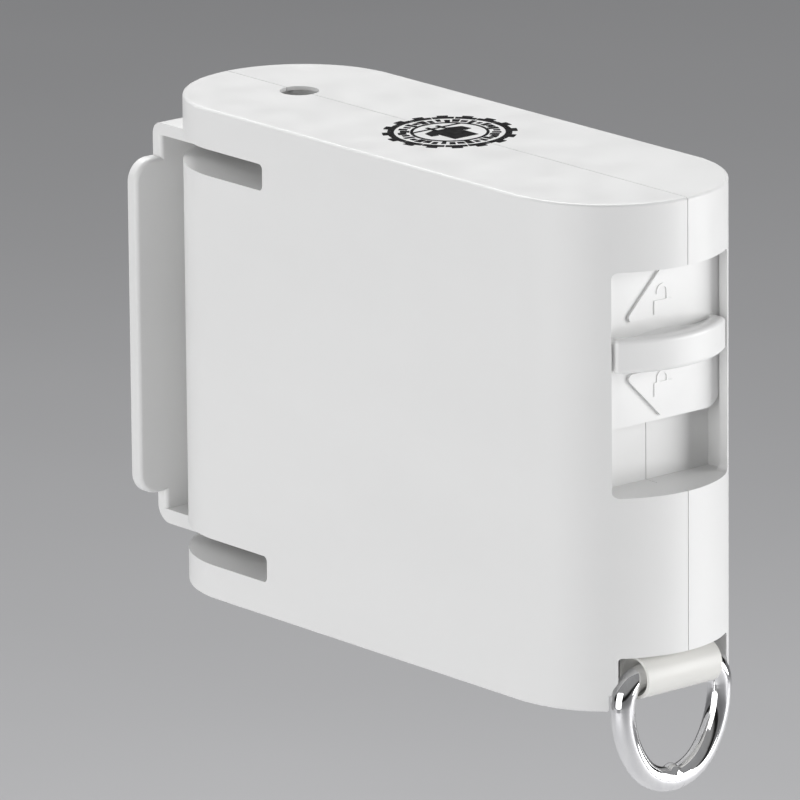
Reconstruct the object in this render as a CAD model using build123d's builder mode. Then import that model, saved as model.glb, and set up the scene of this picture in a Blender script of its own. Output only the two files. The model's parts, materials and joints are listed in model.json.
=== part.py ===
from build123d import *
import math
import os

# Retractable clothesline on a swivelling wall bracket.
# Millimetres. Origin: centre of the bracket's wall face. +Y goes into the wall, +Z is up.

# ---- housing ----
HEIGHT = 77.0
END_R = 17.75
LENGTH = 106.5
WALL = 2.0
EDGE_R = 0.5
WALL_GAP = 3.5
PIVOT_Y = -WALL_GAP - END_R
FRONT_Y = -WALL_GAP - LENGTH + END_R
FRONT = -WALL_GAP - LENGTH
TOP = HEIGHT / 2
SEAM = 0.07

# ---- swivel slots and arms ----
SLOT_UP = (28.1, 32.2)
SLOT_LOW = (-33.1, -29.0)
SLOT_END = -33.8
BLOCK_R = 19.4
EYE_R = 6.5
ARM_UP = (30.0, 31.9)
ARM_LOW = (-31.5, -29.3)
EYE_UP = (28.5, 31.9)
EYE_LOW = (-32.7, -29.3)
NECK = 11.6
PIN_R = 2.5
PIN_BORE = 1.7
HOLE_R = 3.0
UNDERCUT_R = 4.3

# ---- wall bracket ----
PLATE_T = 2.0
FLANGE_W = 16.65
FLANGE_H = 26.5
FLANGE_CORNER = 3.5
FRONT_ROUND = 0.7
SCREW_Z = 15.0
SCREW_HOLE_R = 2.25

# ---- front window and slider ----
WIN_W = 11.3
WIN_Z = (-5.9, 28.3)
LIP_Y = -104.2
PLATE_FRONT = -103.9
FLOOR_Y = -100.6
FLOOR_T = 1.6
GROOVE_W = 12.3
TRAVEL = 8.0
PLATE_BACK = -101.3
LEDGE_Z = (12.9, 18.0)
DISH_AT = 13.4
DISH_R = 3.5
DISH_DEEP = 0.9
ARROW_W = 7.5
ARROW_H = 7.5

# ---- lock pawl ----
PAWL = (-86.0, 16.0)
POST = (-96.0, 20.0)
PAWL_PIN_R = 1.5
TIP_REACH = 10.0
TIP_R = 25.6

# ---- reel ----
REEL_Y = -60.0
REEL_R = 26.8
ROOT_R = 25.0
HUB_R = 11.0
ARBOR_R = 4.0
TEETH = 24
LINE_R = 1.0
WOUND_R = 21.2

# ---- line end ----
EXIT_Z = -33.9
SLEEVE_Y = -106.15
SLEEVE_R = 3.25
SLEEVE_W = 7.2
WIRE_R = 1.85
RING_W = 9.5
BEND_R = 3.9
SIDE_DROP = 4.5
SIDE_R = 15.35
BOW_R = 8.0
LINE_END = -103.3
NOTCH_W = 10.65
NOTCH_TOP = -30.3
NOTCH_BACK = -99.5
FLARE_W = 11.75

SCREWS = [(-44.0, 30.5), (-44.0, -31.0), (-91.5, 31.0), (-72.0, -33.0), (-91.0, -22.0)]


def plan(radius, z):
    """Plan outline of the housing, inset to a smaller end radius when asked."""
    with BuildSketch(Plane.XY.offset(z)) as sk:
        with BuildLine():
            Line((-radius, PIVOT_Y), (-radius, FRONT_Y))
            ThreePointArc((-radius, FRONT_Y), (0, FRONT_Y - radius), (radius, FRONT_Y))
            Line((radius, FRONT_Y), (radius, PIVOT_Y))
            ThreePointArc((radius, PIVOT_Y), (0, PIVOT_Y + radius), (-radius, PIVOT_Y))
        make_face()
    return sk.sketch


def round_z(radius, y, z):
    """Circle in a level plane at height z."""
    with BuildSketch(Plane.XY.offset(z)) as sk:
        with Locations((0, y)):
            Circle(radius)
    return sk.sketch


def round_x(radius, y, z, x):
    """Circle in a side plane at position x."""
    with BuildSketch(Plane.YZ.offset(x)) as sk:
        with Locations((y, z)):
            Circle(radius)
    return sk.sketch


def ring_x(outer, inner, y, z, x):
    """Ring in a side plane at position x."""
    with BuildSketch(Plane.YZ.offset(x)) as sk:
        with Locations((y, z)):
            Circle(outer)
            Circle(inner, mode=Mode.SUBTRACT)
    return sk.sketch


def round_y(radius, z, y):
    """Circle in a front plane at position y."""
    with BuildSketch(Plane.XZ.offset(-y)) as sk:
        with Locations((0, z)):
            Circle(radius)
    return sk.sketch


def box_z(x, y, z):
    """Rectangle spanning x and y, at the low end of z, and its height."""
    with BuildSketch(Plane.XY.offset(z[0])) as sk:
        with Locations(((x[0] + x[1]) / 2, (y[0] + y[1]) / 2)):
            Rectangle(abs(x[1] - x[0]), abs(y[1] - y[0]))
    return sk.sketch, z[1] - z[0]


def front_panel(half_w, z, y, corner):
    """Rectangle with round corners in a front plane at position y."""
    with BuildSketch(Plane.XZ.offset(-y)) as sk:
        with Locations((0, (z[0] + z[1]) / 2)):
            RectangleRounded(2 * half_w, z[1] - z[0], corner)
    return sk.sketch


def notch_front():
    """Front view of the notch for the line's end, wider at the foot to clear the ring."""
    with BuildSketch(Plane.XZ.offset(-NOTCH_BACK)) as sk:
        Polygon((-NOTCH_W, NOTCH_TOP), (NOTCH_W, NOTCH_TOP), (NOTCH_W, -34.0),
                (FLARE_W, -36.0), (FLARE_W, -50), (-FLARE_W, -50), (-FLARE_W, -36.0),
                (-NOTCH_W, -34.0), align=None)
        fillet(sk.vertices().group_by(Axis.Y)[-1], 0.5)
    return sk.sketch


def slot_side(z):
    """Side view of a swivel slot, open to the rear."""
    with BuildSketch(Plane.YZ) as sk:
        with Locations((SLOT_END / 2 + 5, (z[0] + z[1]) / 2)):
            RectangleRounded(10 - SLOT_END, z[1] - z[0], 0.8)
    return sk.sketch


def cavity():
    """Hollow of the closed housing: plan outline less everything that stands in it."""
    with BuildPart() as hollow:
        extrude(plan(END_R - WALL, WALL - TOP), amount=HEIGHT - 2 * WALL)
        extrude(round_z(BLOCK_R, PIVOT_Y, SLOT_UP[0] - WALL), amount=30, mode=Mode.SUBTRACT)
        extrude(round_z(BLOCK_R, PIVOT_Y, -TOP), amount=SLOT_LOW[1] + WALL + TOP,
                mode=Mode.SUBTRACT)
        face, rise = box_z((-20, 20), (-120, FLOOR_Y + FLOOR_T), (-12, 40))
        extrude(face, amount=rise, mode=Mode.SUBTRACT)
        face, rise = box_z((-12.4, 12.4), (-120, NOTCH_BACK + 2), (-40, NOTCH_TOP + 1.6))
        extrude(face, amount=rise, mode=Mode.SUBTRACT)
        face, rise = box_z((-5, 5), (-100, -92.5), (-40, EXIT_Z + 4.6))
        extrude(face, amount=rise, mode=Mode.SUBTRACT)
        for y, z in SCREWS:
            extrude(round_x(3.2, y, z, 0), amount=20, both=True, mode=Mode.SUBTRACT)
        for x, y, z, r in [(13.9, REEL_Y, 0, 7), (2.4, PAWL[0], PAWL[1], 3.2)]:
            extrude(round_x(r, y, z, x), amount=18, mode=Mode.SUBTRACT)
        for x, y, z, r in [(-13.2, REEL_Y, 0, 7), (-12.9, PAWL[0], PAWL[1], 3.2)]:
            extrude(round_x(r, y, z, x), amount=-8, mode=Mode.SUBTRACT)
    return hollow.part


def seam_ring(side):
    """Thin outline removed from the mating face, which leaves the parting line."""
    with BuildSketch(Plane.YZ) as sk:
        with Locations((FRONT / 2 - 2, 0)):
            Rectangle(LENGTH + 20, HEIGHT + 10)
        with Locations(((FRONT - WALL_GAP) / 2, 0)):
            Rectangle(LENGTH - 1.6, HEIGHT - 1.6, mode=Mode.SUBTRACT)
        with Locations((FLOOR_Y - 1, 10)):
            Rectangle(3.0, 60)
    return sk.sketch, side * SEAM


def housing_half(side):
    """One half shell. side is -1 for the left half and +1 for the right half."""
    with BuildPart() as half:
        extrude(plan(END_R, -TOP), amount=HEIGHT)
        rims = half.edges().filter_by(Plane.XY)
        fillet(rims, EDGE_R)
        face, rise = box_z((-30 * side, 0), (-130, 20), (-60, 60))
        extrude(face, amount=rise, mode=Mode.SUBTRACT)
        add(cavity(), mode=Mode.SUBTRACT)
        face, thick = seam_ring(side)
        extrude(face, amount=thick, mode=Mode.SUBTRACT)
        # swivel slots, open to the rear and both sides
        for z in (SLOT_UP, SLOT_LOW):
            extrude(slot_side(z), amount=30, both=True, mode=Mode.SUBTRACT)
        # pivot pins and the sunk holes above and below them
        extrude(round_z(PIN_R + 0.03, PIVOT_Y, -TOP), amount=HEIGHT, mode=Mode.SUBTRACT)
        extrude(round_z(HOLE_R, PIVOT_Y, 34.5), amount=10, mode=Mode.SUBTRACT)
        extrude(round_z(HOLE_R, PIVOT_Y, -45), amount=9.5, mode=Mode.SUBTRACT)
        extrude(round_z(UNDERCUT_R, PIVOT_Y, 34.5), amount=3.4, mode=Mode.SUBTRACT)
        extrude(round_z(UNDERCUT_R, PIVOT_Y, -37.9), amount=2.4, mode=Mode.SUBTRACT)
        # window, slider groove and the slot for the slider's post
        extrude(front_panel(WIN_W, WIN_Z, LIP_Y, 1.0), amount=12, mode=Mode.SUBTRACT)
        face, rise = box_z((-GROOVE_W, GROOVE_W), (LIP_Y, FLOOR_Y), (-6.1, TOP - WALL))
        extrude(face, amount=rise, mode=Mode.SUBTRACT)
        face, rise = box_z((-3, 3), (FLOOR_Y - 1, FLOOR_Y + 3), (9.8, 22.2))
        extrude(face, amount=rise, mode=Mode.SUBTRACT)
        # shallow pocket for the detent leaf, right half only
        face, rise = box_z((5.5, 10.5), (FLOOR_Y - 1, FLOOR_Y + 0.5), (7, 25))
        extrude(face, amount=rise, mode=Mode.SUBTRACT)
        # notch for the end of the line, and the eyelet's seat behind it
        extrude(notch_front(), amount=20, mode=Mode.SUBTRACT)
        extrude(round_y(2.6, EXIT_Z, NOTCH_BACK + 10), amount=15, mode=Mode.SUBTRACT)
        extrude(round_y(3.6, EXIT_Z, -91.5), amount=1.0, mode=Mode.SUBTRACT)
        # seats of the arbor and the pawl pin
        extrude(round_x(ARBOR_R + 0.03, REEL_Y, 0, 0), amount=16.2, both=True,
                mode=Mode.SUBTRACT)
        extrude(round_x(PAWL_PIN_R + 0.03, PAWL[0], PAWL[1], 0), amount=15.9, both=True,
                mode=Mode.SUBTRACT)
        # closing screws: pilot holes on the left, clearance and sunk heads on the right
        for y, z in SCREWS:
            extrude(round_x(1.43, y, z, 0), amount=-12.4, mode=Mode.SUBTRACT)
            extrude(round_x(1.7, y, z, 0), amount=14.5, mode=Mode.SUBTRACT)
            extrude(round_x(3.1, y, z, 14.0), amount=8, mode=Mode.SUBTRACT)
    return half


def thumb_dish():
    """Hollow in the top of the slider's ledge, which follows the ledge's round front."""
    with BuildPart() as dish:
        with BuildSketch(Plane.YZ) as section:
            with Locations((FRONT_Y - DISH_AT, LEDGE_Z[1] + DISH_R - DISH_DEEP)):
                Circle(DISH_R)
        revolve(axis=Axis((0, FRONT_Y, 0), (0, 0, 1)))
        face, rise = box_z((-9.4, 9.4), (-112, PLATE_FRONT), (14, 30))
        extrude(face, amount=rise, mode=Mode.INTERSECT)
    return dish.part


def bracket_front():
    """Front view of the bracket: wide flange and the taller middle that carries the arms."""
    with BuildSketch(Plane.XZ) as sk:
        RectangleRounded(2 * FLANGE_W, 2 * FLANGE_H, FLANGE_CORNER)
        with Locations((0, (ARM_UP[1] + ARM_LOW[0]) / 2)):
            Rectangle(2 * NECK, ARM_UP[1] - ARM_LOW[0])
    return sk.sketch


def neck(z):
    """Plan of a flat arm, from the plate to its round end about the pivot."""
    with BuildSketch(Plane.XY.offset(z[0])) as sk:
        with Locations((0, PIVOT_Y / 2)):
            Rectangle(2 * NECK, -PIVOT_Y)
        with Locations((0, PIVOT_Y)):
            Circle(NECK)
    return sk.sketch


with BuildPart() as wall_bracket:
    extrude(bracket_front(), amount=PLATE_T)
    rim = wall_bracket.edges().filter_by_position(Axis.Y, -PLATE_T - 0.1, 0.1 - PLATE_T)
    rim = rim.filter_by(lambda e: abs(e.center().Z) < 30)
    fillet(rim, FRONT_ROUND)
    for span in (ARM_UP, ARM_LOW):
        extrude(neck(span), amount=span[1] - span[0])
    for span in (EYE_UP, EYE_LOW):
        extrude(round_z(EYE_R, PIVOT_Y, span[0]), amount=span[1] - span[0])
    bends = wall_bracket.edges().filter_by(Axis.X).filter_by_position(Axis.Y, -0.1, 0.1)
    fillet(bends.sort_by(Axis.Z)[-1], 2.0)
    bends = wall_bracket.edges().filter_by(Axis.X).filter_by_position(Axis.Y, -0.1, 0.1)
    fillet(bends.sort_by(Axis.Z)[0], 2.8)
    extrude(round_z(PIN_R + 0.06, PIVOT_Y, -TOP), amount=HEIGHT, mode=Mode.SUBTRACT)
    for hole_z in (SCREW_Z, -SCREW_Z):
        with Locations(Plane.XZ.offset(PLATE_T)):
            with Locations((0, hole_z)):
                CounterSinkHole(SCREW_HOLE_R, 4.0, counter_sink_angle=90)

housing_left = housing_half(-1)
housing_right = housing_half(1)

with BuildPart() as housing_screws:
    for y, z in SCREWS:
        extrude(round_x(1.4, y, z, 14.05), amount=-26)
        extrude(round_x(2.9, y, z, 14.05), amount=2.2)
        with BuildSketch(Plane.YZ.offset(16.25)) as drive:
            with Locations((y, z)):
                Rectangle(3.6, 0.8)
                Rectangle(0.8, 3.6)
        extrude(amount=-1.2, mode=Mode.SUBTRACT)

with BuildPart() as pivot_pin_upper:
    extrude(round_z(PIN_R, PIVOT_Y, 24.5), amount=10)
    chamfer(pivot_pin_upper.edges().filter_by(GeomType.CIRCLE), 0.4)
    extrude(round_z(PIN_BORE, PIVOT_Y, 24.5), amount=10, mode=Mode.SUBTRACT)

with BuildPart() as pivot_pin_lower:
    extrude(round_z(PIN_R, PIVOT_Y, -35.5), amount=10)
    chamfer(pivot_pin_lower.edges().filter_by(GeomType.CIRCLE), 0.4)
    extrude(round_z(PIN_BORE, PIVOT_Y, -35.5), amount=10, mode=Mode.SUBTRACT)

with BuildPart() as arbor:
    extrude(round_x(ARBOR_R, REEL_Y, 0, -16.1), amount=32.2)
    face, rise = box_z((3.8, 11.8), (REEL_Y - 0.35, REEL_Y + 0.35), (1.8, 6))
    extrude(face, amount=rise, mode=Mode.SUBTRACT)

with BuildPart() as drum:
    extrude(round_x(HUB_R, REEL_Y, 0, -10.3), amount=13.5)
    extrude(round_x(5.8, REEL_Y, 0, -12.4), amount=2.2)
    extrude(round_x(REEL_R, REEL_Y, 0, 1.7), amount=1.5)
    extrude(ring_x(REEL_R, 25.3, REEL_Y, 0, 3.2), amount=9.0)
    extrude(ring_x(9.4, 6.2, REEL_Y, 0, -10.3), amount=9.0, mode=Mode.SUBTRACT)
    extrude(round_x(ARBOR_R + 0.06, REEL_Y, 0, -14), amount=20, mode=Mode.SUBTRACT)

# where the locked pawl's tip meets the toothed rim, seen from the reel's axis
PAWL_R = math.hypot(PAWL[0] - REEL_Y, PAWL[1])
TIP_TURN = math.acos((PAWL_R ** 2 + TIP_R ** 2 - TIP_REACH ** 2) / (2 * PAWL_R * TIP_R))
TIP_AT = math.atan2(PAWL[1], PAWL[0] - REEL_Y) + TIP_TURN

with BuildPart() as ratchet_flange:
    with BuildSketch(Plane.YZ.offset(-12.5)) as teeth:
        with Locations((REEL_Y, 0)):
            Circle(REEL_R)
            Circle(5.83, mode=Mode.SUBTRACT)
            with PolarLocations(ROOT_R, TEETH, start_angle=math.degrees(TIP_AT)):
                Polygon((0, -1.7), (2.6, -2.55), (2.6, 2.55), (0, 1.7), align=None,
                        mode=Mode.SUBTRACT)
    extrude(amount=2.15)

with BuildPart() as drum_cover:
    extrude(ring_x(REEL_R, 4.4, REEL_Y, 0, 12.2), amount=1.2)
    extrude(ring_x(25.25, 24.6, REEL_Y, 0, 11.4), amount=0.8)

with BuildPart() as mainspring:
    PITCH = 1.2
    HALF_T = 0.2
    with BuildSketch(Plane.YZ.offset(4.2)) as strip:
        with BuildLine():
            first = 5.2
            turns = 31
            start = (REEL_Y, first)
            outer_pts = []
            inner_pts = []
            for k in range(turns):
                radius = first + k * PITCH / 2
                shift = 0 if k % 2 == 0 else PITCH / 2
                sign = 1 if k % 2 == 0 else -1
                for points, off in ((outer_pts, HALF_T), (inner_pts, -HALF_T)):
                    r = radius + off
                    top = (REEL_Y, shift + sign * r)
                    mid = (REEL_Y - sign * r, shift)
                    low = (REEL_Y, shift - sign * r)
                    points.append((top, mid, low))
            for top, mid, low in outer_pts + inner_pts:
                ThreePointArc(top, mid, low)
            Line(outer_pts[0][0], inner_pts[0][0])
            Line(outer_pts[-1][2], inner_pts[-1][2])
        make_face()
    extrude(amount=7.0)
    face, rise = box_z((4.2, 11.2), (REEL_Y - 0.2, REEL_Y + 0.2), (2.2, 5.3))
    extrude(face, amount=rise)

with BuildPart() as line_winding:
    with BuildSketch(Plane.XY) as pack:
        with Locations((-4.3, REEL_Y - (HUB_R + 0.05 + WOUND_R) / 2)):
            Rectangle(11.9, WOUND_R - HUB_R - 0.05)
        for k in range(6):
            with Locations((-9.25 + 1.98 * k, REEL_Y - WOUND_R)):
                Circle(LINE_R)
    revolve(axis=Axis((0, REEL_Y, 0), (1, 0, 0)))

with BuildPart() as line_run:
    with BuildLine() as path:
        FilletPolyline((-4.3, REEL_Y, -23.3), (-3.2, -70.0, -25.0), (0, -89.0, EXIT_Z),
                       (0, LINE_END, EXIT_Z), radius=(25, 10))
    with BuildSketch(Plane(path.line @ 0, z_dir=path.line % 0)) as section:
        Circle(LINE_R)
    sweep()

with BuildPart() as line_guide:
    extrude(round_y(2.57, EXIT_Z, -92.5), amount=6.8)
    extrude(round_y(3.5, EXIT_Z, -91.6), amount=0.9)
    extrude(round_y(1.4, EXIT_Z, -90), amount=12, mode=Mode.SUBTRACT)
    chamfer(line_guide.edges().filter_by(GeomType.CIRCLE).sort_by(SortBy.RADIUS)[:2], 0.6)

with BuildPart() as lock_slider:
    with BuildSketch(Plane.XZ.offset(-PLATE_BACK)) as plate:
        with Locations((0, 20.0)):
            Rectangle(23.2, 32.4)
        fillet(plate.vertices().group_by(Axis.Y)[0], 2.8)
    extrude(amount=PLATE_BACK - PLATE_FRONT)
    face, rise = box_z((-12, 12), (PLATE_FRONT + 0.3, PLATE_BACK), (6.8, 36.2))
    extrude(face, amount=rise)
    with BuildSketch(Plane.XY.offset(LEDGE_Z[0])) as ledge:
        with Locations((0, FRONT_Y)):
            Circle(END_R - 0.1)
        with Locations((0, -110)):
            Rectangle(21.2, 14, mode=Mode.INTERSECT)
        fillet(ledge.vertices().group_by(Axis.Y)[0], 0.9)
    extrude(amount=LEDGE_Z[1] - LEDGE_Z[0])
    lips = lock_slider.edges().filter_by(GeomType.CIRCLE)
    lips = lips.filter_by(lambda e: e.radius > 15)
    fillet(lips, 0.7)
    add(thumb_dish(), mode=Mode.SUBTRACT)
    for base, apex in ((19.6, 19.6 + ARROW_H), (11.7, 11.7 - ARROW_H)):
        with BuildSketch(Plane.XZ.offset(-PLATE_FRONT)) as arrow:
            Polygon((-ARROW_W, base), (ARROW_W, base), (0, apex), align=None)
            fillet(arrow.vertices(), 0.7)
        extrude(amount=0.45)
    # post with a round end that works the fork of the pawl
    with BuildSketch(Plane.YZ.offset(-1.9)) as post:
        with Locations(((PLATE_BACK + POST[0]) / 2, POST[1])):
            Rectangle(POST[0] - PLATE_BACK, 1.5)
        with Locations(POST):
            Circle(1.5)
    extrude(amount=3.8)
    # two shallow dimples for the detent leaf, one per position
    for dimple_z in (16.0, 24.0):
        face, rise = box_z((5.8, 10.2), (PLATE_BACK - 0.3, PLATE_BACK + 1),
                           (dimple_z - 1.2, dimple_z + 1.2))
        extrude(face, amount=rise, mode=Mode.SUBTRACT)

with BuildPart() as detent_spring:
    with BuildSketch(Plane.YZ.offset(6.0)) as leaf:
        with BuildLine():
            Polyline((FLOOR_Y + 0.45, 7.5), (FLOOR_Y + 0.2, 7.5), (FLOOR_Y - 0.35, 15.0),
                     (FLOOR_Y - 0.5, 16.0), (FLOOR_Y - 0.35, 17.0), (FLOOR_Y + 0.2, 24.5),
                     (FLOOR_Y + 0.45, 24.5), (FLOOR_Y - 0.1, 17.0), (FLOOR_Y - 0.25, 16.0),
                     (FLOOR_Y - 0.1, 15.0), close=True)
        make_face()
    extrude(amount=4.0)

with BuildPart() as lock_pawl:
    ARM_PLANE = Plane(origin=(-2.0, PAWL[0], PAWL[1]), z_dir=(1, 0, 0),
                      x_dir=(0, POST[0] - PAWL[0], POST[1] - PAWL[1]))
    with BuildSketch(ARM_PLANE) as fork:
        with Locations((5.95, 0)):
            Rectangle(11.9, 5.8)
        with Locations((10.4, 0)):
            SlotOverall(7.6, 3.3, mode=Mode.SUBTRACT)
    extrude(amount=4.0)
    extrude(round_x(2.9, PAWL[0], PAWL[1], -12.5), amount=14.5)
    TIP = (REEL_Y + TIP_R * math.cos(TIP_AT) - PAWL[0],
           TIP_R * math.sin(TIP_AT) - PAWL[1])
    SWING = 2 * math.atan2(TRAVEL / 2, PAWL[0] - POST[0])
    REST = math.atan2(TIP[1], TIP[0]) - SWING
    with BuildSketch(Plane(origin=(-12.5, PAWL[0], PAWL[1]), z_dir=(1, 0, 0),
                           x_dir=(0, math.cos(REST), math.sin(REST)))) as tooth:
        Polygon((0, -2.2), (7.2, -3.2), (TIP_REACH + 0.24, -2.2), (TIP_REACH + 0.68, -0.15),
                (TIP_REACH - 0.63, 0.33), (7.5, -0.9), (4.9, 0.4), (0, 2.2), align=None)
    extrude(amount=2.2)
    extrude(round_x(PAWL_PIN_R + 0.06, PAWL[0], PAWL[1], -14), amount=20, mode=Mode.SUBTRACT)

with BuildPart() as pawl_pin:
    extrude(round_x(PAWL_PIN_R, PAWL[0], PAWL[1], -15.8), amount=31.6)

with BuildPart() as line_terminal:
    extrude(round_x(SLEEVE_R, SLEEVE_Y, EXIT_Z, -SLEEVE_W), amount=2 * SLEEVE_W)
    with BuildSketch(Plane.XY.offset(EXIT_Z - 2.9)) as web:
        Polygon((-SLEEVE_W, SLEEVE_Y), (SLEEVE_W, SLEEVE_Y), (5.2, -103.0), (4.6, -99.9),
                (-4.6, -99.9), (-5.2, -103.0), align=None)
    extrude(amount=5.8)
    extrude(round_x(WIRE_R + 0.08, SLEEVE_Y, EXIT_Z, -10), amount=20, mode=Mode.SUBTRACT)
    # conical mouths where the ring bends down
    with BuildSketch(Plane.XY.offset(EXIT_Z)) as mouths:
        for s in (-1, 1):
            Polygon((5.2 * s, SLEEVE_Y), (5.2 * s, SLEEVE_Y + WIRE_R + 0.05),
                    (7.4 * s, SLEEVE_Y + 2.9), (7.4 * s, SLEEVE_Y), align=None)
    revolve(axis=Axis((0, SLEEVE_Y, EXIT_Z), (1, 0, 0)), mode=Mode.SUBTRACT)
    extrude(round_y(2.05, EXIT_Z, -99), amount=4.6, mode=Mode.SUBTRACT)

with BuildPart() as crimp_sleeve:
    extrude(round_y(2.0, EXIT_Z, -100.4), amount=3.2)
    extrude(round_y(LINE_R + 0.03, EXIT_Z, -100), amount=6, mode=Mode.SUBTRACT)

with BuildPart() as d_ring:
    # bar through the sleeve, two bends, then a bow of three tangent arcs
    side_z = EXIT_Z - SIDE_DROP
    bar_x = RING_W - BEND_R
    lean = math.acos((SIDE_R - RING_W) / (SIDE_R - BOW_R))
    knee_x = BOW_R * math.cos(lean)
    knee_z = side_z - SIDE_R * math.sin(lean)
    with BuildLine(Plane.XZ.offset(-SLEEVE_Y)) as outline:
        Line((0, EXIT_Z), (bar_x, EXIT_Z))
        RadiusArc((bar_x, EXIT_Z), (RING_W, EXIT_Z - BEND_R), BEND_R)
        Line((RING_W, EXIT_Z - BEND_R), (RING_W, side_z))
        RadiusArc((RING_W, side_z), (knee_x, knee_z), SIDE_R)
        RadiusArc((knee_x, knee_z), (-knee_x, knee_z), BOW_R)
        RadiusArc((-knee_x, knee_z), (-RING_W, side_z), SIDE_R)
        Line((-RING_W, side_z), (-RING_W, EXIT_Z - BEND_R))
        RadiusArc((-RING_W, EXIT_Z - BEND_R), (-bar_x, EXIT_Z), BEND_R)
        Line((-bar_x, EXIT_Z), (0, EXIT_Z))
    with BuildSketch(Plane(origin=(0, SLEEVE_Y, EXIT_Z), z_dir=(1, 0, 0))):
        Circle(WIRE_R)
    sweep()

with BuildPart() as top_badge:
    with BuildSketch(Plane.XY.offset(TOP)) as disc:
        with Locations((0, PIVOT_Y - 35.25)):
            Circle(10.2)
    extrude(amount=0.2)

NODES = {
    "wall_bracket": wall_bracket, "housing_left": housing_left,
    "housing_right": housing_right, "housing_screws": housing_screws,
    "pivot_pin_upper": pivot_pin_upper, "pivot_pin_lower": pivot_pin_lower,
    "arbor": arbor, "drum": drum, "ratchet_flange": ratchet_flange,
    "drum_cover": drum_cover, "mainspring": mainspring, "line_winding": line_winding,
    "line_run": line_run, "line_guide": line_guide, "lock_slider": lock_slider,
    "detent_spring": detent_spring, "lock_pawl": lock_pawl, "pawl_pin": pawl_pin,
    "line_terminal": line_terminal, "crimp_sleeve": crimp_sleeve, "d_ring": d_ring,
    "top_badge": top_badge,
}

os.makedirs("parts", exist_ok=True)
for name, node in NODES.items():
    node.part.label = name
    export_step(node.part, f"parts/{name}.step")
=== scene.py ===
"""Retractable clothesline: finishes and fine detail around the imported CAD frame."""
import json
import math

import bmesh
import bpy
from mathutils import Matrix, Vector


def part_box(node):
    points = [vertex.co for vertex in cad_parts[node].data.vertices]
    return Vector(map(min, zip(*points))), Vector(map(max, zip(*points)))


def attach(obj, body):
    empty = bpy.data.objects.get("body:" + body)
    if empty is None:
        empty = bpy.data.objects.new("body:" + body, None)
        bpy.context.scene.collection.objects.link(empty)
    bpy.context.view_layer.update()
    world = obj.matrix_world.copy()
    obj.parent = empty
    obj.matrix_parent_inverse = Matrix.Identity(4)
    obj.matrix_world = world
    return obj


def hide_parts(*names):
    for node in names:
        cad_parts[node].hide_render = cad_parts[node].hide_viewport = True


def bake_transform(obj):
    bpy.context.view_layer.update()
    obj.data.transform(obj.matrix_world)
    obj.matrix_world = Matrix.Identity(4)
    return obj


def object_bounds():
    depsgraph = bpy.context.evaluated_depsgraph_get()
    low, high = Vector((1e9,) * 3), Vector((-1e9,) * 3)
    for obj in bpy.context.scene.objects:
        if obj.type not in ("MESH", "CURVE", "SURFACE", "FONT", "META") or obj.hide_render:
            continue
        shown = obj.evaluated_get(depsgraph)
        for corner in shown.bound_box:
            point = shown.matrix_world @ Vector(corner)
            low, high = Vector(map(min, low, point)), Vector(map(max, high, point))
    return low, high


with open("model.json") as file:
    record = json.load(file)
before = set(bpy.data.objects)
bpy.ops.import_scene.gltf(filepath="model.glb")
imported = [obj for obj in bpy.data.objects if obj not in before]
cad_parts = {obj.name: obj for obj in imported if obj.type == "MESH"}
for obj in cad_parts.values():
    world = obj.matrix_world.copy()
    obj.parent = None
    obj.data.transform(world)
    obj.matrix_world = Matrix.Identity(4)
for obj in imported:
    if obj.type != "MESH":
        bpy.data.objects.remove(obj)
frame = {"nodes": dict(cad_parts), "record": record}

MM = 0.001
cad_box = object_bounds()

# ---- places taken from the frame ----
LEFT_LOW, LEFT_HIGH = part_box("housing_left")
HOUSING_MID = Vector((0, (LEFT_LOW.y + LEFT_HIGH.y) / 2, 0))
HOUSING_TOP = LEFT_HIGH.z
BADGE_LOW, BADGE_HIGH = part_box("top_badge")
RING_LOW, RING_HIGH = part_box("d_ring")
GUIDE_LOW, GUIDE_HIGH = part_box("line_guide")
RUN_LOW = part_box("line_run")[0]

# ---- camera ----
CAMERA_AZIMUTH = math.radians(40.25)
CAMERA_ELEVATION = math.radians(15.20)
CAMERA_ROLL = math.radians(-0.44)
CAMERA_DISTANCE = 1.6102
CAMERA_LENS = 482.5
AIM_RIGHT = -7.93 * MM
AIM_UP = -2.82 * MM


# ================= materials =================

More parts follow.
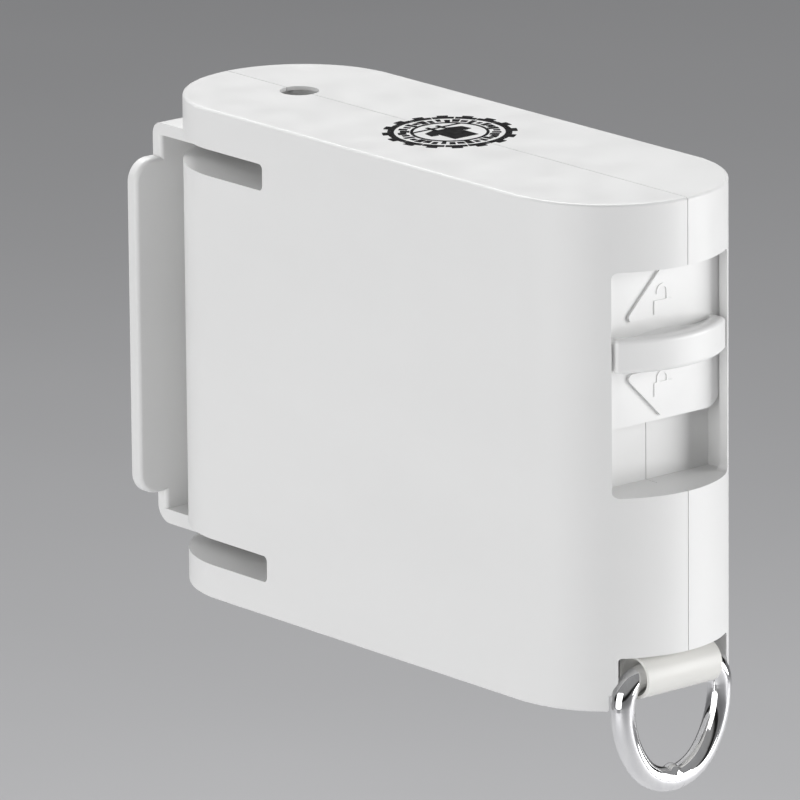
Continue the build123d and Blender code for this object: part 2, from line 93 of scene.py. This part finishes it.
class Finish:
    """A node material under construction: one Principled shader and helpers to feed it."""

    def __init__(self, name, roughness, metallic=0.0):
        self.material = bpy.data.materials.new(name)
        self.material.use_nodes = True
        self.tree = self.material.node_tree
        self.shader = self.tree.nodes["Principled BSDF"]
        self.shader.inputs["Roughness"].default_value = roughness
        self.shader.inputs["Metallic"].default_value = metallic
        self.place = self.add("ShaderNodeTexCoord").outputs["Object"]

    def add(self, kind, **settings):
        node = self.tree.nodes.new(kind)
        for key, value in settings.items():
            setattr(node, key, value)
        return node

    def link(self, source, target):
        self.tree.links.new(source, target)

    def noise(self, scale, detail=3.0, stretch=None):
        """Noise of the given scale per metre, stretched along an axis when asked."""
        node = self.add("ShaderNodeTexNoise")
        node.inputs["Scale"].default_value = scale
        node.inputs["Detail"].default_value = detail
        source = self.place
        if stretch:
            mapping = self.add("ShaderNodeMapping")
            mapping.inputs["Scale"].default_value = stretch
            self.link(self.place, mapping.inputs["Vector"])
            source = mapping.outputs["Vector"]
        self.link(source, node.inputs["Vector"])
        return node.outputs["Fac"]

    def ramp(self, source, low, high, start=0.35, end=0.65):
        """Colour ramp between two colours over part of the source's range."""
        node = self.add("ShaderNodeValToRGB")
        stops = node.color_ramp.elements
        stops[0].position = start
        stops[0].color = (*low, 1)
        stops[1].position = end
        stops[1].color = (*high, 1)
        self.link(source, node.inputs["Fac"])
        return node.outputs["Color"]

    def spread(self, source, low, high):
        """Maps noise to a number between low and high."""
        node = self.add("ShaderNodeMapRange")
        node.inputs["From Min"].default_value = 0.3
        node.inputs["From Max"].default_value = 0.7
        node.inputs["To Min"].default_value = low
        node.inputs["To Max"].default_value = high
        self.link(source, node.inputs["Value"])
        return node.outputs["Result"]

    def colour(self, source):
        self.link(source, self.shader.inputs["Base Color"])

    def roughness(self, source):
        self.link(source, self.shader.inputs["Roughness"])

    def bump(self, *layers):
        """Stacks bump layers, each a (source, strength, height in metres)."""
        normal = None
        for source, strength, height in layers:
            node = self.add("ShaderNodeBump")
            node.inputs["Strength"].default_value = strength
            node.inputs["Distance"].default_value = height
            self.link(source, node.inputs["Height"])
            if normal:
                self.link(normal, node.inputs["Normal"])
            normal = node.outputs["Normal"]
        self.link(normal, self.shader.inputs["Normal"])


GRAIN_SCALE = 2600.0
GRAIN_HEIGHT = 0.006 * MM
WAVINESS = 0.05 * MM


def moulded(name, colour, roughness):
    """Satin moulded plastic: fine spark-eroded grain, faint flow marks, uneven gloss."""
    finish = Finish(name, roughness)
    finish.shader.inputs["Specular IOR Level"].default_value = 0.45
    flow = finish.noise(22.0, 4.0, stretch=(1.0, 0.5, 1.6))
    darker = tuple(c * 0.975 for c in colour)
    finish.colour(finish.ramp(flow, darker, colour))
    finish.roughness(finish.spread(finish.noise(160.0, 5.0), roughness - 0.05, roughness + 0.06))
    finish.bump((finish.noise(45.0, 2.0), 0.25, WAVINESS),
                (finish.noise(GRAIN_SCALE, 2.0), 0.35, GRAIN_HEIGHT))
    return finish.material


def chrome():
    """Bright plated wire with faint polishing lines."""
    finish = Finish("bright_chrome", 0.07, metallic=1.0)
    lines = finish.noise(900.0, 3.0, stretch=(1.0, 1.0, 0.15))
    finish.colour(finish.ramp(lines, (0.86, 0.86, 0.87), (0.93, 0.93, 0.93)))
    finish.roughness(finish.spread(finish.noise(420.0, 5.0), 0.05, 0.10))
    finish.bump((finish.noise(140.0, 2.0), 0.2, 0.03 * MM))
    return finish.material


def turned_steel(name, dark, light, roughness):
    """Zinc-plated or blued steel with drawing marks."""
    finish = Finish(name, roughness, metallic=1.0)
    marks = finish.noise(700.0, 4.0, stretch=(0.2, 1.0, 1.0))
    finish.colour(finish.ramp(marks, dark, light))
    finish.roughness(finish.spread(finish.noise(300.0, 4.0), roughness - 0.06, roughness + 0.1))
    finish.bump((marks, 0.3, 0.01 * MM))
    return finish.material


def ink():
    """Black pad print, slightly uneven in density."""
    finish = Finish("black_print", 0.7)
    finish.shader.inputs["Specular IOR Level"].default_value = 0.05
    finish.colour(finish.ramp(finish.noise(1500.0, 4.0), (0.003, 0.003, 0.003), (0.009, 0.009, 0.010)))
    finish.roughness(finish.spread(finish.noise(900.0, 3.0), 0.62, 0.80))
    finish.bump((finish.noise(3000.0, 2.0), 0.3, 0.004 * MM))
    return finish.material


def coated_line():
    """White coated line: a faint twist of the core shows through the coat."""
    finish = Finish("coated_line", 0.42)
    twist = finish.add("ShaderNodeTexWave", wave_type="BANDS", bands_direction="DIAGONAL")
    twist.inputs["Scale"].default_value = 260.0
    twist.inputs["Distortion"].default_value = 1.0
    finish.link(finish.place, twist.inputs["Vector"])
    finish.colour(finish.ramp(finish.noise(60.0), (0.80, 0.81, 0.82), (0.88, 0.89, 0.90)))
    finish.roughness(finish.spread(finish.noise(400.0), 0.36, 0.50))
    finish.bump((twist.outputs["Fac"], 0.5, 0.06 * MM))
    return finish.material


def floor_paint():
    """Plain pale floor."""
    finish = Finish("pale_floor", 0.75)
    finish.colour(finish.ramp(finish.noise(3.0), (0.55, 0.55, 0.56), (0.58, 0.58, 0.59)))
    return finish.material


# ================= mesh helpers =================

def add_piece(name, mesh_builder, material, smooth=False):
    """Links a new object whose mesh the builder fills in."""
    mesh = bpy.data.meshes.new(name)
    bm = bmesh.new()
    mesh_builder(bm)
    bmesh.ops.recalc_face_normals(bm, faces=bm.faces)
    bm.to_mesh(mesh)
    bm.free()
    piece = bpy.data.objects.new(name, mesh)
    bpy.context.scene.collection.objects.link(piece)
    piece.data.materials.append(material)
    if smooth:
        for face in mesh.polygons:
            face.use_smooth = True
    return piece


def thicken(bm, faces, rise):
    """Turns flat faces into slabs by pushing a copy of them along rise."""
    grown = bmesh.ops.extrude_face_region(bm, geom=faces, use_keep_orig=True)["geom"]
    verts = [v for v in grown if isinstance(v, bmesh.types.BMVert)]
    bmesh.ops.translate(bm, verts=verts, vec=rise)


def polar_band(bm, centre, inner, outer, start, end, steps):
    """Flat band between two radii. A band that goes all the way round closes on itself."""
    whole = math.isclose(end - start, 2 * math.pi)
    rows = []
    for k in range(steps if whole else steps + 1):
        angle = start + (end - start) * k / steps
        aim = Vector((math.cos(angle), math.sin(angle), 0))
        rows.append([bm.verts.new(centre + aim * r) for r in (inner, outer)])
    if whole:
        rows.append(rows[0])
    faces = []
    for first, second in zip(rows, rows[1:]):
        faces.append(bm.faces.new((first[0], first[1], second[1], second[0])))
    return faces


def panel(bm, points):
    """One flat face through the points."""
    return [bm.faces.new([bm.verts.new(p) for p in points])]


# ================= pieces =================

PRINT_RISE = 0.06 * MM
PRINT_SINK = 0.01 * MM
TOOTH_COUNT = 16
TOOTH_ROOT = 9.3 * MM
TOOTH_TIP = 10.15 * MM
TOOTH_HALF = 0.085
RIM = (8.35 * MM, 9.35 * MM)
RIM_GAP = 0.012
DASH_COUNT = 34
DASH_BAND = (6.35 * MM, 7.65 * MM)
INNER_RING = (5.5 * MM, 5.95 * MM)
PEG_HALF = 0.3
TEE = ((-1.1, 2.4), (-0.6, 1.9), (0.6, 1.9), (1.1, 2.4), (3.6, 1.5), (3.9, -0.4), (2.6, -0.6),
       (2.3, 0.3), (2.3, -3.9), (-2.3, -3.9), (-2.3, 0.3), (-2.6, -0.6), (-3.9, -0.4), (-3.6, 1.5))


def flat_shape(bm, centre, points):
    """One flat face from points in mm about the badge's centre."""
    return panel(bm, [centre + Vector((x, y, 0)) * MM for x, y in points])


def badge_print(bm):
    """Round printed badge: toothed rim, band of dashes, ring and a garment pegged on a line."""
    centre = Vector((0, (BADGE_LOW.y + BADGE_HIGH.y) / 2, HOUSING_TOP - PRINT_SINK))
    turn = 2 * math.pi
    faces = []
    for k in range(TOOTH_COUNT):
        start = turn * k / TOOTH_COUNT
        middle = start + turn / TOOTH_COUNT / 2
        faces += polar_band(bm, centre, *RIM, start + RIM_GAP,
                            start + turn / TOOTH_COUNT - RIM_GAP, 8)
        faces += polar_band(bm, centre, TOOTH_ROOT, TOOTH_TIP, middle - TOOTH_HALF,
                            middle + TOOTH_HALF, 3)
    for k in range(DASH_COUNT):
        middle = turn * k / DASH_COUNT
        half = 0.062 + 0.016 * math.sin(5.0 * k)
        low = DASH_BAND[0] + 0.3 * MM * math.sin(2.3 * k)
        high = DASH_BAND[1] + 0.2 * MM * math.cos(3.1 * k)
        faces += polar_band(bm, centre, low, high, middle - half, middle + half, 2)
    faces += polar_band(bm, centre, *INNER_RING, 0, turn, 72)
    # garment on a line; the badge reads from the front, so its up is +Y
    faces += flat_shape(bm, centre, ((-4.9, 2.9), (4.9, 2.9), (4.9, 3.35), (-4.9, 3.35)))
    faces += flat_shape(bm, centre, TEE)
    for peg_x in (-1.0, 1.0):
        faces += flat_shape(bm, centre, ((peg_x - PEG_HALF, 2.2), (peg_x + PEG_HALF, 2.2),
                                         (peg_x + PEG_HALF, 4.2), (peg_x - PEG_HALF, 4.2)))
    thicken(bm, faces, Vector((0, 0, PRINT_RISE)))


SLIDER_FACE_Y = -104.33 * MM
SIGN_RISE = 0.16 * MM
SHACKLE = (0.7 * MM, 1.2 * MM)
SHACKLE_Z = 0.75 * MM
SHACKLE_FOOT = 0.55 * MM
SHACKLE_LIFT = 0.7 * MM
SHACKLE_STEPS = 12


def padlock(bm, middle, opened):
    """Raised padlock sign on the slider's face; its shackle is lifted off one side if open."""
    lift = SHACKLE_LIFT if opened else 0.0
    body = ((-1.7, -1.9), (1.7, -1.9), (1.7, 0.2), (-1.7, 0.2))
    faces = panel(bm, [middle + Vector((x * MM, 0, z * MM)) for x, z in body])
    rows = []
    for k in range(SHACKLE_STEPS + 1):
        angle = math.pi * k / SHACKLE_STEPS
        aim = Vector((math.cos(angle), 0, math.sin(angle)))
        rows.append([middle + aim * r + Vector((0, 0, SHACKLE_Z + lift)) for r in SHACKLE])
    foot = Vector((0, 0, -SHACKLE_FOOT - lift))
    rows.insert(0, [p + foot for p in rows[0]])
    rows.append([p + foot * (0.25 if opened else 1.0) for p in rows[-1]])
    verts = [[bm.verts.new(p) for p in row] for row in rows]
    for first, second in zip(verts, verts[1:]):
        faces.append(bm.faces.new((first[0], first[1], second[1], second[0])))
    thicken(bm, faces, Vector((0, -SIGN_RISE, 0)))


BEAD_LENGTH = 2.3 * MM
BEAD_RISE = 0.55 * MM
BEAD_SINK = 0.02 * MM
BEAD_AROUND = 28
BEAD_ALONG = 13


def weld_bead(bm):
    """Small weld lump on the inside of the bow's lowest point, where the wire's ends meet."""
    wire = (RING_HIGH.y - RING_LOW.y) / 2
    axis = Vector((0, (RING_LOW.y + RING_HIGH.y) / 2, RING_LOW.z + wire))
    rows = []
    for i in range(BEAD_ALONG):
        u = i / (BEAD_ALONG - 1)
        bulge = math.sin(math.pi * u) ** 1.5
        row = []
        for k in range(BEAD_AROUND):
            angle = 2 * math.pi * k / BEAD_AROUND
            inward = max(0.0, math.cos(angle)) ** 2
            ripple = 1 + 0.12 * math.sin(3 * angle + 7 * u)
            radius = wire - BEAD_SINK + bulge * inward * ripple * BEAD_RISE
            row.append(bm.verts.new(axis + Vector((BEAD_LENGTH * (u - 0.5),
                                                   radius * math.sin(angle),
                                                   radius * math.cos(angle)))))
        rows.append(row)
    for first, second in zip(rows, rows[1:]):
        for k in range(BEAD_AROUND):
            n = (k + 1) % BEAD_AROUND
            bm.faces.new((first[k], first[n], second[n], second[k]))
    bm.faces.new(rows[0])
    bm.faces.new(rows[-1])


LINE_RADIUS = 1.0 * MM
EXIT_Z = (GUIDE_LOW.z + GUIDE_HIGH.z) / 2


def line_route():
    """Control points of the line from the reel, through the eyelet, into the sleeve."""
    reel_side = RUN_LOW.x + LINE_RADIUS
    return [Vector((reel_side, -60 * MM, -23.3 * MM)), Vector((-3.7 * MM, -65 * MM, -24.0 * MM)),
            Vector((-2.9 * MM, -72 * MM, -25.9 * MM)), Vector((-0.7 * MM, -85 * MM, -32.0 * MM)),
            Vector((0, -89.5 * MM, EXIT_Z)), Vector((0, -93 * MM, EXIT_Z)),
            Vector((0, -98 * MM, EXIT_Z)), Vector((0, RUN_LOW.y, EXIT_Z))]


def clothesline(material):
    """The line itself as a smooth tube, stretched between the housing and its end fitting."""
    curve = bpy.data.curves.new("clothesline_path", "CURVE")
    curve.dimensions = "3D"
    route = line_route()
    spline = curve.splines.new("NURBS")
    spline.points.add(len(route) - 1)
    for point, place in zip(spline.points, route):
        point.co = (*place, 1)
    spline.order_u = 4
    spline.use_endpoint_u = True
    spline.resolution_u = 12
    curve.bevel_depth = LINE_RADIUS
    curve.bevel_resolution = 6
    curve.use_fill_caps = True
    source = bpy.data.objects.new("clothesline_path", curve)
    bpy.context.scene.collection.objects.link(source)
    bpy.context.view_layer.update()
    mesh = bpy.data.meshes.new_from_object(source.evaluated_get(bpy.context.evaluated_depsgraph_get()))
    bpy.data.objects.remove(source)
    piece = bpy.data.objects.new("clothesline", mesh)
    bpy.context.scene.collection.objects.link(piece)
    mesh.materials.clear()
    mesh.materials.append(material)
    for face in mesh.polygons:
        face.use_smooth = True
    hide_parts("line_run")
    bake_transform(piece)


# ================= studio =================

def soft_light(name, place, aim, width, height, power):
    """Rectangular soft panel at place, facing aim."""
    data = bpy.data.lights.new(name, "AREA")
    data.shape = "RECTANGLE"
    data.size = width
    data.size_y = height
    data.energy = power
    light = bpy.data.objects.new(name, data)
    bpy.context.scene.collection.objects.link(light)
    light.location = place
    light.rotation_euler = (Vector(place) - Vector(aim)).to_track_quat("Z", "Y").to_euler()


FLOOR_DROP = 0.45
FLOOR_HALF = 8.0
PANELS = (("key", (1.15, -1.15, 0.12), 1.2, 1.0, 23.0), ("over", (0.45, 0.7, 1.15), 0.9, 0.9, 17.0),
          ("fill", (-1.43, -0.26, 0.12), 1.4, 1.0, 13.8), ("back", (-0.5, 1.6, 0.8), 1.2, 1.2, 8.0))
ROOM_STRENGTH = 0.30
ROOM_GREYS = ((0.02, 0.04), (0.16, 0.04), (0.30, 0.85))


def floor_sheet(bm):
    """Square floor, well below the object so that the chrome reflects the panels too."""
    level = cad_box[0].z - FLOOR_DROP
    corners = ((-1, -1), (1, -1), (1, 1), (-1, 1))
    panel(bm, [Vector((x * FLOOR_HALF, y * FLOOR_HALF, level)) for x, y in corners])


def room_light():
    """Room brightness by height: grey at the horizon, a dark band over it and pale above."""
    world = bpy.data.worlds.new("room")
    world.use_nodes = True
    tree = world.node_tree
    tree.nodes["Background"].inputs["Strength"].default_value = ROOM_STRENGTH
    height = tree.nodes.new("ShaderNodeSeparateXYZ")
    tree.links.new(tree.nodes.new("ShaderNodeTexCoord").outputs["Generated"], height.inputs["Vector"])
    room = tree.nodes.new("ShaderNodeValToRGB")
    stops = room.color_ramp.elements
    stops[0].position = 0.0
    stops[0].color = (0.55, 0.55, 0.56, 1)
    stops[1].position = 1.0
    stops[1].color = (0.95, 0.96, 0.98, 1)
    for place, grey in ROOM_GREYS:
        stop = stops.new(place)
        stop.color = (grey, grey, grey, 1)
    tree.links.new(height.outputs["Z"], room.inputs["Fac"])
    tree.links.new(room.outputs["Color"], tree.nodes["Background"].inputs["Color"])
    bpy.context.scene.world = world


def studio():
    """Floor, four panels and the room's light."""
    add_piece("floor", floor_sheet, floor_paint())
    for name, place, width, height, power in PANELS:
        soft_light(name, place, HOUSING_MID, width, height, power)
    room_light()
    bpy.context.scene.view_settings.view_transform = "Standard"


def camera():
    """Long-lens camera at the product's three-quarter view from the left, a little above."""
    az, el, roll = CAMERA_AZIMUTH, CAMERA_ELEVATION, CAMERA_ROLL
    back = Vector((-math.sin(az) * math.cos(el), -math.cos(az) * math.cos(el), math.sin(el)))
    level = Vector((math.cos(az), -math.sin(az), 0))
    upright = back.cross(level)
    right = level * math.cos(roll) + upright * math.sin(roll)
    up = back.cross(right)
    place = HOUSING_MID + back * CAMERA_DISTANCE
    aim = HOUSING_MID + right * AIM_RIGHT + up * AIM_UP
    z_axis = (place - aim).normalized()
    x_axis = up.cross(z_axis).normalized()
    y_axis = z_axis.cross(x_axis)
    data = bpy.data.cameras.new("camera")
    data.lens = CAMERA_LENS
    data.clip_end = 20.0
    obj = bpy.data.objects.new("camera", data)
    bpy.context.scene.collection.objects.link(obj)
    obj.matrix_world = Matrix.Translation(place) @ Matrix((x_axis, y_axis, z_axis)).transposed().to_4x4()
    bpy.context.scene.camera = obj


def paint_nodes(finishes):
    """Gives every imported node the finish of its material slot."""
    for part in frame["record"]["subparts"]:
        node = frame["nodes"][part["node"]]
        for slot in node.material_slots:
            slot.material = finishes[part["material_slot"]]


def add_badge():
    """The print, which stands in for the plain badge disc of the frame."""
    badge = add_piece("badge_print", badge_print, ink())
    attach(badge, "housing")
    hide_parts("top_badge")


def add_sign(name, z, opened, material):
    """One padlock sign at height z on the slider."""
    def sign_mesh(bm):
        padlock(bm, Vector((0, SLIDER_FACE_Y, z)), opened)

    sign = add_piece(name, sign_mesh, material)
    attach(sign, "slider")


def build():
    """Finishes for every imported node, then the added pieces."""
    finishes = {
        "shell": moulded("shell_white", (0.80, 0.80, 0.795), 0.36),
        "bracket": moulded("bracket_white", (0.77, 0.77, 0.765), 0.40),
        "slider": moulded("slider_white", (0.82, 0.82, 0.815), 0.33),
        "terminal": moulded("sleeve_offwhite", (0.77, 0.765, 0.735), 0.38),
        "reel": moulded("acetal_natural", (0.58, 0.58, 0.55), 0.34),
        "pawl": moulded("acetal_grey", (0.45, 0.46, 0.48), 0.36),
        "badge": moulded("label_white", (0.80, 0.80, 0.79), 0.40),
        "ring": chrome(),
        "steel": turned_steel("zinc_steel", (0.42, 0.42, 0.43), (0.60, 0.60, 0.61), 0.32),
        "spring": turned_steel("blued_steel", (0.12, 0.16, 0.24), (0.24, 0.29, 0.38), 0.28),
        "line": coated_line(),
    }
    paint_nodes(finishes)
    add_badge()
    add_sign("sign_open", 21.9 * MM, True, finishes["slider"])
    add_sign("sign_locked", 9.5 * MM, False, finishes["slider"])
    bead = add_piece("ring_weld", weld_bead, finishes["ring"], smooth=True)
    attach(bead, "ring")
    clothesline(finishes["line"])


build()
studio()
camera()
